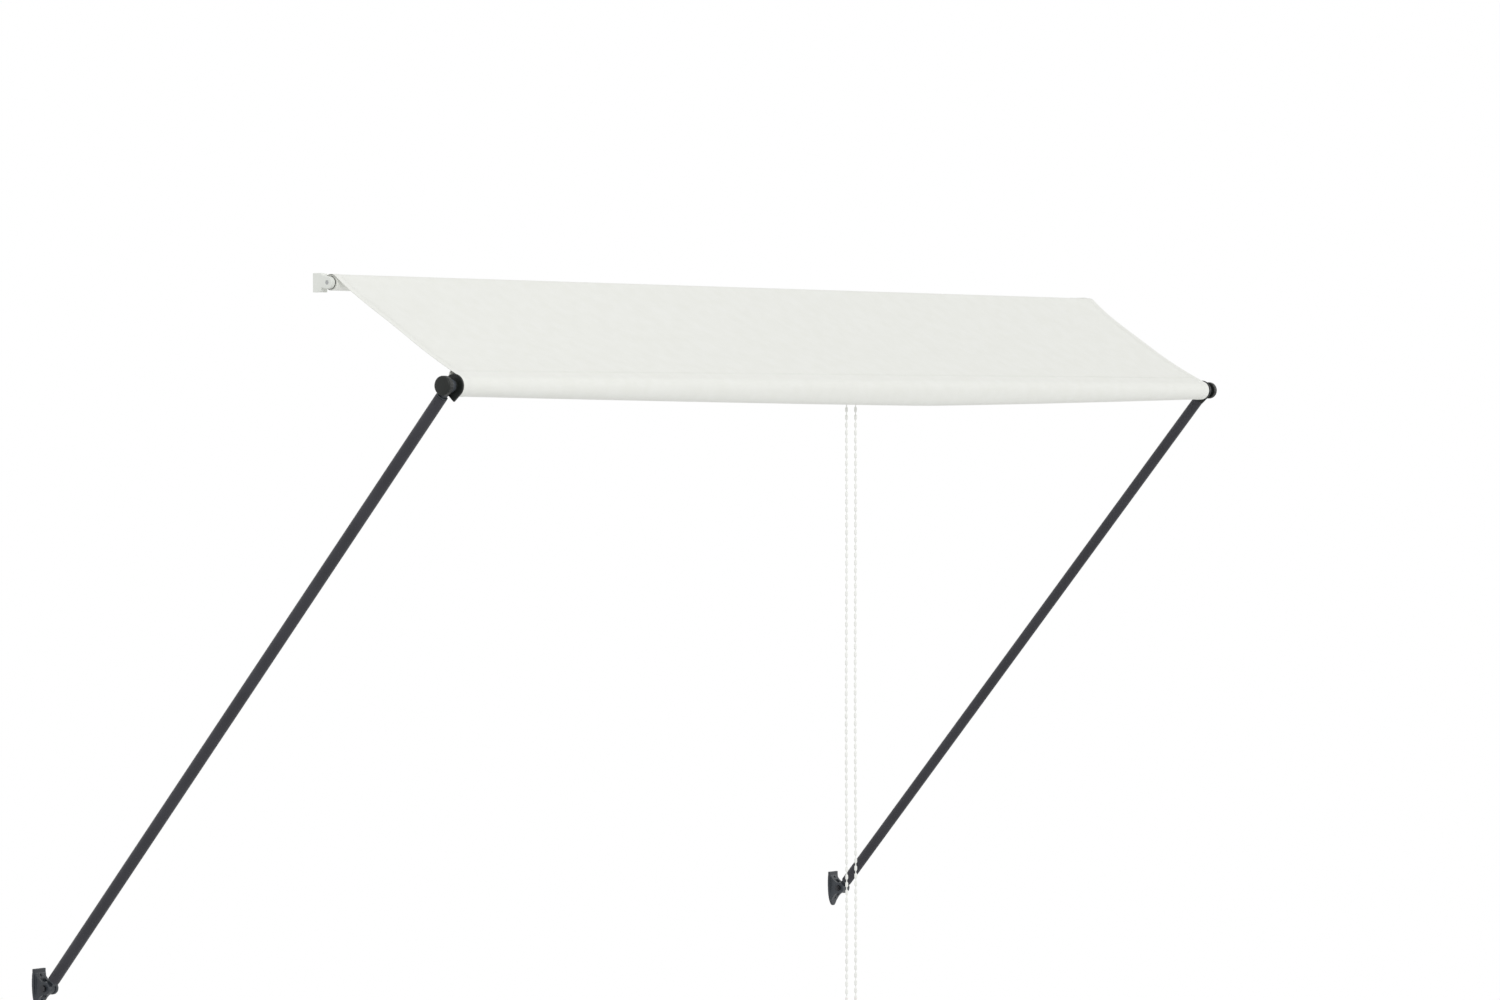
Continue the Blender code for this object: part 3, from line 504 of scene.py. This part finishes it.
def bead_chain():
    """Long moulded beads joined by a thin core, all along the route."""
    route = chain_route()
    total = route_length(route)
    rings = [(*along_route(route, distance), radius) for distance, radius in bead_sections(total)]
    points = []
    faces = []
    add_rings(points, faces, rings, BEAD_SIDES)
    chain = link_mesh("bead_chain", points, faces, SLOT_FINISH["chain_plastic"])
    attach(chain, "chain")
    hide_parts("pull_chain")


def run_line():
    """Ends of the cloth's straight run on roller and bar, and its upward normal, as (y, z)."""
    span = BAR_AXIS - ROLLER_AXIS
    along = span.normalized()
    up = Vector((along.y, -along.x))
    lean = (ROLLER_SEAT - BAR_SEAT) / span.length
    normal = (up * math.sqrt(1 - lean * lean) + along * lean).normalized()
    return ROLLER_AXIS + normal * ROLLER_SEAT, BAR_AXIS + normal * BAR_SEAT, normal


def hem_drop(x):
    """How far the loose hem hangs below the bar at this place along it."""
    reach = HALF_WIDTH + (HEM_LOW_X if x < HEM_LOW_X else -HEM_LOW_X)
    share = min(1.0, abs(x - HEM_LOW_X) / reach)
    return HEM_SLACK * (1 - share ** HEM_RISE_POWER)


def side_hem_lift(x):
    """How far the doubled strip along each side stands up, with a soft step at its inner edge."""
    inside = HALF_WIDTH - abs(x)
    step = EDGE_COLUMNS[-1] - EDGE_COLUMNS[-3]
    return SIDE_HEM_LIFT * min(1.0, max(0.0, (EDGE_COLUMNS[-1] - inside) / step))


def bow(t):
    """A bow over the run: 0 at the roller and at the bar, 1 halfway."""
    return 4 * t * (1 - t)


def run_offset(x, t):
    """Height of the cloth over its straight run: sag, slow ripples and pulled corners."""
    side = x / HALF_WIDTH
    swell = CLOTH_RIPPLE * math.sin(RIPPLE_SWELL * side) * bow(t)
    ripple = swell * math.sin(RIPPLE_ACROSS * side + RIPPLE_SHIFT * t)
    pull = CORNER_PULL * abs(side) ** CORNER_POWER * (1 - t)
    corner = pull * math.sin(math.tau * CORNER_WAVES * t)
    return -(CLOTH_SAG * bow(t) + ripple + corner)


def pulled_in(x, t):
    """Place across the cloth where the free sides draw in between roller and bar."""
    return x * (1 - (CLOTH_INSET + CLOTH_PULL_IN * bow(t)) / HALF_WIDTH)


def cloth_places():
    """Places across the cloth, closer together at the side hems."""
    inner = HALF_WIDTH - EDGE_COLUMNS[-1]
    places = [-HALF_WIDTH + inset for inset in EDGE_COLUMNS[:-1]]
    places += [inner * (2 * i / COLUMNS - 1) for i in range(COLUMNS + 1)]
    return places + [HALF_WIDTH - inset for inset in reversed(EDGE_COLUMNS[:-1])]


def cloth_column(x):
    """Points (y, z) down the cloth at one place across it: roller, run and sleeve."""
    start, end, normal = run_line()
    base = math.atan2(normal.y, normal.x)
    hem_lift = side_hem_lift(x)
    column = []
    for i in range(ROLL_ROWS):
        back = 1 - i / ROLL_ROWS
        angle = base - back * ROLL_TURN
        radius = ROLLER_SEAT - ROLL_TUCK * back + hem_lift
        column.append(ROLLER_AXIS + Vector((math.cos(angle), math.sin(angle))) * radius)
    for i in range(RUN_ROWS + 1):
        t = i / RUN_ROWS
        column.append(start.lerp(end, t) + normal * (run_offset(x, t) + hem_lift))
    sag = CLOTH_SAG * bow(SLEEVE_REACH)
    sleeve_end = end.lerp(start, SLEEVE_REACH) - normal * (sag + SLEEVE_GAP)
    for i in range(1, WRAP_ROWS + 1):
        t = i / WRAP_ROWS
        angle = base + WRAP_END * t
        direction = Vector((math.cos(angle), math.sin(angle)))
        place = BAR_AXIS + direction * (BAR_SEAT + hem_lift)
        place.y -= hem_drop(x) * max(0.0, -direction.y) ** HEM_ROUND_POWER
        if t > SLEEVE_TURN:
            place = place.lerp(sleeve_end, (t - SLEEVE_TURN) / (1 - SLEEVE_TURN))
        column.append(place)
    return column


def run_share(row):
    """Share of the run, 0 at the roller and 1 at the bar, beside which a row of cloth lies."""
    turned = (row - ROLL_ROWS - RUN_ROWS) / WRAP_ROWS
    if turned > SLEEVE_TURN:
        return 1 - SLEEVE_REACH * (turned - SLEEVE_TURN) / (1 - SLEEVE_TURN)
    return min(1.0, max(0.0, (row - ROLL_ROWS) / RUN_ROWS))


def blend_with_cloth(piece):
    """Bake the piece's place into its mesh."""
    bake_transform(piece)


def canopy_cloth():
    """The whole sheet: off the roller, down to the bar and round it as a hem sleeve."""
    points = []
    faces = []
    uvs = []
    for x in cloth_places():
        length = 0.0
        before = None
        for row, place in enumerate(cloth_column(x)):
            if before is not None:
                length += (place - before).length
            before = place
            points.append(Vector((pulled_in(x, run_share(row)), place.x, place.y)))
            uvs.append((x, length))
    rows = ROLL_ROWS + RUN_ROWS + 1 + WRAP_ROWS
    for corner in range(len(points) - rows):
        if (corner + 1) % rows:
            faces.append((corner, corner + 1, corner + rows + 1, corner + rows))
    cloth = link_mesh("canopy_cloth", points, faces, SLOT_FINISH["canvas"])
    layer = cloth.data.uv_layers.new(name="weave")
    for loop in cloth.data.loops:
        layer.data[loop.index].uv = uvs[loop.vertex_index]
    thick = cloth.modifiers.new("thickness", "SOLIDIFY")
    thick.thickness = CLOTH_THICKNESS
    thick.offset = 0.0
    apply_modifiers(cloth)
    blend_with_cloth(cloth)
    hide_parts("canopy", "front_hem")
    length = max(v for _, v in uvs)


def wound_cloth():
    """Cloth wound on the roller tube, with its turns showing at the ends."""
    inner = ROLLER_TUBE_RADIUS + WOUND_GAP
    layer = (WOUND_RADIUS - inner) / WOUND_TURNS
    end = []
    for turn in range(WOUND_TURNS):
        low = inner + layer * turn
        high = inner + layer * (turn + 1)
        end += [(low + GROOVE_HALF_WIDTH, ROLL_HALF_WIDTH - GROOVE_DEPTH),
                (low + TURN_EDGE_WIDTH, ROLL_HALF_WIDTH - TURN_EDGE_DEPTH),
                (high - TURN_EDGE_WIDTH, ROLL_HALF_WIDTH),
                (high - GROOVE_HALF_WIDTH, ROLL_HALF_WIDTH - GROOVE_DEPTH)]
    outline = [(radius, -x) for radius, x in end] + end[::-1]
    loops = []
    for k in range(WOUND_SIDES):
        angle = math.tau * k / WOUND_SIDES
        loops.append([Vector((x, ROLLER.y + radius * math.cos(angle),
                              ROLLER.z + radius * math.sin(angle))) for radius, x in outline])
    roll = link_ring("wound_cloth", loops, SLOT_FINISH["canvas"])
    roll.data.set_sharp_from_angle(angle=WOUND_SHARP)
    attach(roll, "roller")
    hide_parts("fabric_roll")


def add_stitch(points, faces, x, t, downwards):
    """One raised stitch on the run, down a side hem or else along the bar."""
    start, end, normal = run_line()
    run = end - start
    heading = Vector((0, *run.normalized())) if downwards else Vector((1, 0, 0))
    lift = CLOTH_THICKNESS / 2 + STITCH_LIFT + side_hem_lift(x)
    rings = []
    for share, height, width in STITCH_PROFILE:
        reach = share * STITCH_LENGTH
        here = x if downwards else x + reach
        there = t + reach / run.length if downwards else t
        spot = start.lerp(end, there) + normal * (run_offset(x, t) + lift + height)
        rings.append((Vector((pulled_in(here, there), *spot)), heading, THREAD_RADIUS * width))
    add_rings(points, faces, rings, THREAD_SIDES)


def stitches():
    """Two rows of lock stitch that close the hem sleeve, and one down each side hem."""
    start, end, _ = run_line()
    run = (end - start).length
    edge = HALF_WIDTH - STITCH_MARGIN
    points = []
    faces = []
    for share in SLEEVE_ROWS:
        for k in range(int(2 * edge / STITCH_PITCH)):
            add_stitch(points, faces, -edge + (k + 0.5) * STITCH_PITCH, 1 - share, False)
    for x in (-edge, edge):
        for k in range(int(run * SIDE_ROW_SHARE / STITCH_PITCH)):
            add_stitch(points, faces, x, SIDE_ROW_START + k * STITCH_PITCH / run, True)
    rows = link_mesh("hem_stitches", points, faces, THREAD)
    blend_with_cloth(rows)


def hanger_eyelet():
    """Pressed ring where the hanger of the chain comes out of the back of the sleeve."""
    sleeve = cloth_column(HANGER.x)[-WRAP_ROWS:]
    low, high = next((a, b) for a, b in zip(sleeve, sleeve[1:])
                     if a.x > BAR.y and a.y < BAR.z <= b.y)
    centre = low.lerp(high, (BAR.z - low.y) / (high.y - low.y))
    up = (high - low).normalized()
    outward = Vector((0, up.y, -up.x))
    loops = []
    for radius, height in EYELET_PROFILE:
        loop = []
        for i in range(EYELET_SIDES):
            angle = math.tau * i / EYELET_SIDES
            spoke = Vector((math.cos(angle), *(up * math.sin(angle))))
            loop.append(Vector((HANGER.x, *centre)) + outward * height + spoke * radius)
        loops.append(loop)
    ring = link_ring("hanger_eyelet", loops, SLOT_FINISH["zinc_steel"])
    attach(ring, "front_bar")


def foot_half_width(box, height):
    """Half width of a bracket's plate at a height below its shoulders, where it narrows.

    The plate's edge there is a quadratic curve from the shoulder to the tip.
    """
    low, high = box
    half = (high.x - low.x) / 2
    shoulder = high.z * PLATE_SHOULDER
    control = low.z * PLATE_CONTROL
    square = shoulder - 2 * control + low.z
    linear = 2 * (control - shoulder)
    root = linear ** 2 - 4 * square * (shoulder - height)
    share = (-linear - math.sqrt(max(0.0, root))) / (2 * square)
    return half - (half - PLATE_TIP_HALF) * share ** 2


def trim_horn(casting, node):
    """Let the root of the horn narrow with the pointed foot of its plate."""
    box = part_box(node)
    centre = (box[0].x + box[1].x) / 2
    place = casting.matrix_world
    back = place.inverted()
    for vertex in casting.data.vertices:
        spot = place @ vertex.co
        if spot.z < 0.0:
            limit = foot_half_width(box, max(spot.z, box[0].z))
            spot.x = centre + max(-limit, min(limit, spot.x - centre))
            vertex.co = back @ spot


def cast_copy(node, body, rounds, trimmed=False):
    """A casting or moulding with softly rounded edges that stands for a CAD node."""
    source = frame["nodes"][node]
    made = bpy.data.objects.new(node + "_cast", source.data.copy())
    bpy.context.scene.collection.objects.link(made)
    made.matrix_world = source.matrix_world
    remesh = made.modifiers.new("voxel", "REMESH")
    remesh.mode = "VOXEL"
    remesh.voxel_size = CAST_VOXEL
    apply_modifiers(made)
    if trimmed:
        trim_horn(made, node)
    soft = made.modifiers.new("soft edges", "SMOOTH")
    soft.factor = CAST_SMOOTHING
    soft.iterations = rounds
    apply_modifiers(made)
    made.data.materials.clear()
    made.data.materials.append(SLOT_FINISH[SLOTS[node]])
    made.data.shade_smooth()
    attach(made, body)
    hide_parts(node)


def castings():
    """Rounded castings for the brackets and arm ends, mouldings for the knobs and caps."""
    for side in ("left", "right"):
        cast_copy(f"arm_bracket_{side}", "wall_fittings", rounds=16, trimmed=True)
        cast_copy(f"roller_bracket_{side}", "wall_fittings", rounds=6)
        cast_copy(f"{side}_arm_foot", f"{side}_arm", rounds=6)
        cast_copy(f"{side}_arm_head", f"{side}_arm", rounds=6)
        cast_copy(f"knob_{side}", f"{side}_knob", rounds=8)
        cast_copy(f"front_cap_{side}", "front_bar", rounds=12)


def arm_rivets():
    """Dome rivets that hold the castings in the arm tubes."""
    arm = BAR - PIVOT
    for side, x in (("left", PIVOT.x), ("right", -PIVOT.x)):
        points = []
        faces = []
        for distance in (RIVET_FROM_PIVOT, arm.length - RIVET_FROM_BAR):
            centre = Vector((x, PIVOT.y, PIVOT.z)) + arm.normalized() * distance
            for outward in (Vector((-1, 0, 0)), Vector((1, 0, 0))):
                rings = [(centre + outward * (ARM_TUBE_RADIUS + height), outward, radius)
                         for height, radius in RIVET_PROFILE]
                add_rings(points, faces, rings, RIVET_SIDES)
        rivets = link_mesh(f"{side}_arm_rivets", points, faces, SLOT_FINISH["arm_paint"])
        face_outwards(rivets)
        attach(rivets, f"{side}_arm")


def stage_floor():
    """Pale floor that keeps the shadow."""
    look = Nodes("stage_floor")
    look.set(Roughness=0.9)
    look.feed("Base Color", look.ramp(look.noise(1.5, detail=2.0), (0.85, 0.85, 0.85),
                                       (0.87, 0.87, 0.87), 0.3, 0.7))
    corners = [(x * FLOOR_HALF, y * FLOOR_HALF, FLOOR_HEIGHT)
               for x, y in ((-1, -1), (1, -1), (1, 1), (-1, 1))]
    floor = link_mesh("stage_floor", corners, [(0, 1, 2, 3)], look.material, smooth=False)


def studio_world():
    """Even light from all sides, and a brighter white for the camera and the reflections."""
    world = bpy.data.worlds.new("studio")
    world.use_nodes = True
    bpy.context.scene.world = world
    tree = world.node_tree
    tree.nodes.clear()
    output = tree.nodes.new("ShaderNodeOutputWorld")
    mix = tree.nodes.new("ShaderNodeMixShader")
    rays = tree.nodes.new("ShaderNodeLightPath")
    seen = tree.nodes.new("ShaderNodeMath")
    seen.operation = "MAXIMUM"
    tree.links.new(rays.outputs["Is Camera Ray"], seen.inputs[0])
    tree.links.new(rays.outputs["Is Glossy Ray"], seen.inputs[1])
    tree.links.new(seen.outputs["Value"], mix.inputs["Fac"])
    for socket, strength in ((1, SKY_LIGHT), (2, SKY_SEEN)):
        sky = tree.nodes.new("ShaderNodeBackground")
        sky.inputs["Color"].default_value = (1.0, 1.0, 1.0, 1.0)
        sky.inputs["Strength"].default_value = strength
        tree.links.new(sky.outputs["Background"], mix.inputs[socket])
    tree.links.new(mix.outputs["Shader"], output.inputs["Surface"])


def add_lamp(name, place, target, size, power):
    """A large soft area lamp."""
    data = bpy.data.lights.new(name, "AREA")
    data.shape = "DISK"
    data.size = size
    data.energy = power
    made = bpy.data.objects.new(name, data)
    bpy.context.scene.collection.objects.link(made)
    made.location = place
    made.rotation_euler = (Vector(target) - Vector(place)).to_track_quat("-Z", "Y").to_euler()


bpy.context.scene.view_settings.view_transform = "Standard"
place_camera()
bead_chain()
finish_nodes()
canopy_cloth()
wound_cloth()
stitches()
hanger_eyelet()
castings()
arm_rivets()
stage_floor()
studio_world()
add_lamp("key", place=(-6.0, -7.5, 6.5), target=(0.0, -0.9, 1.2), size=4.0, power=260.0)
add_lamp("fill", place=(7.0, -5.0, 3.0), target=(0.0, -0.9, 0.8), size=4.0, power=90.0)
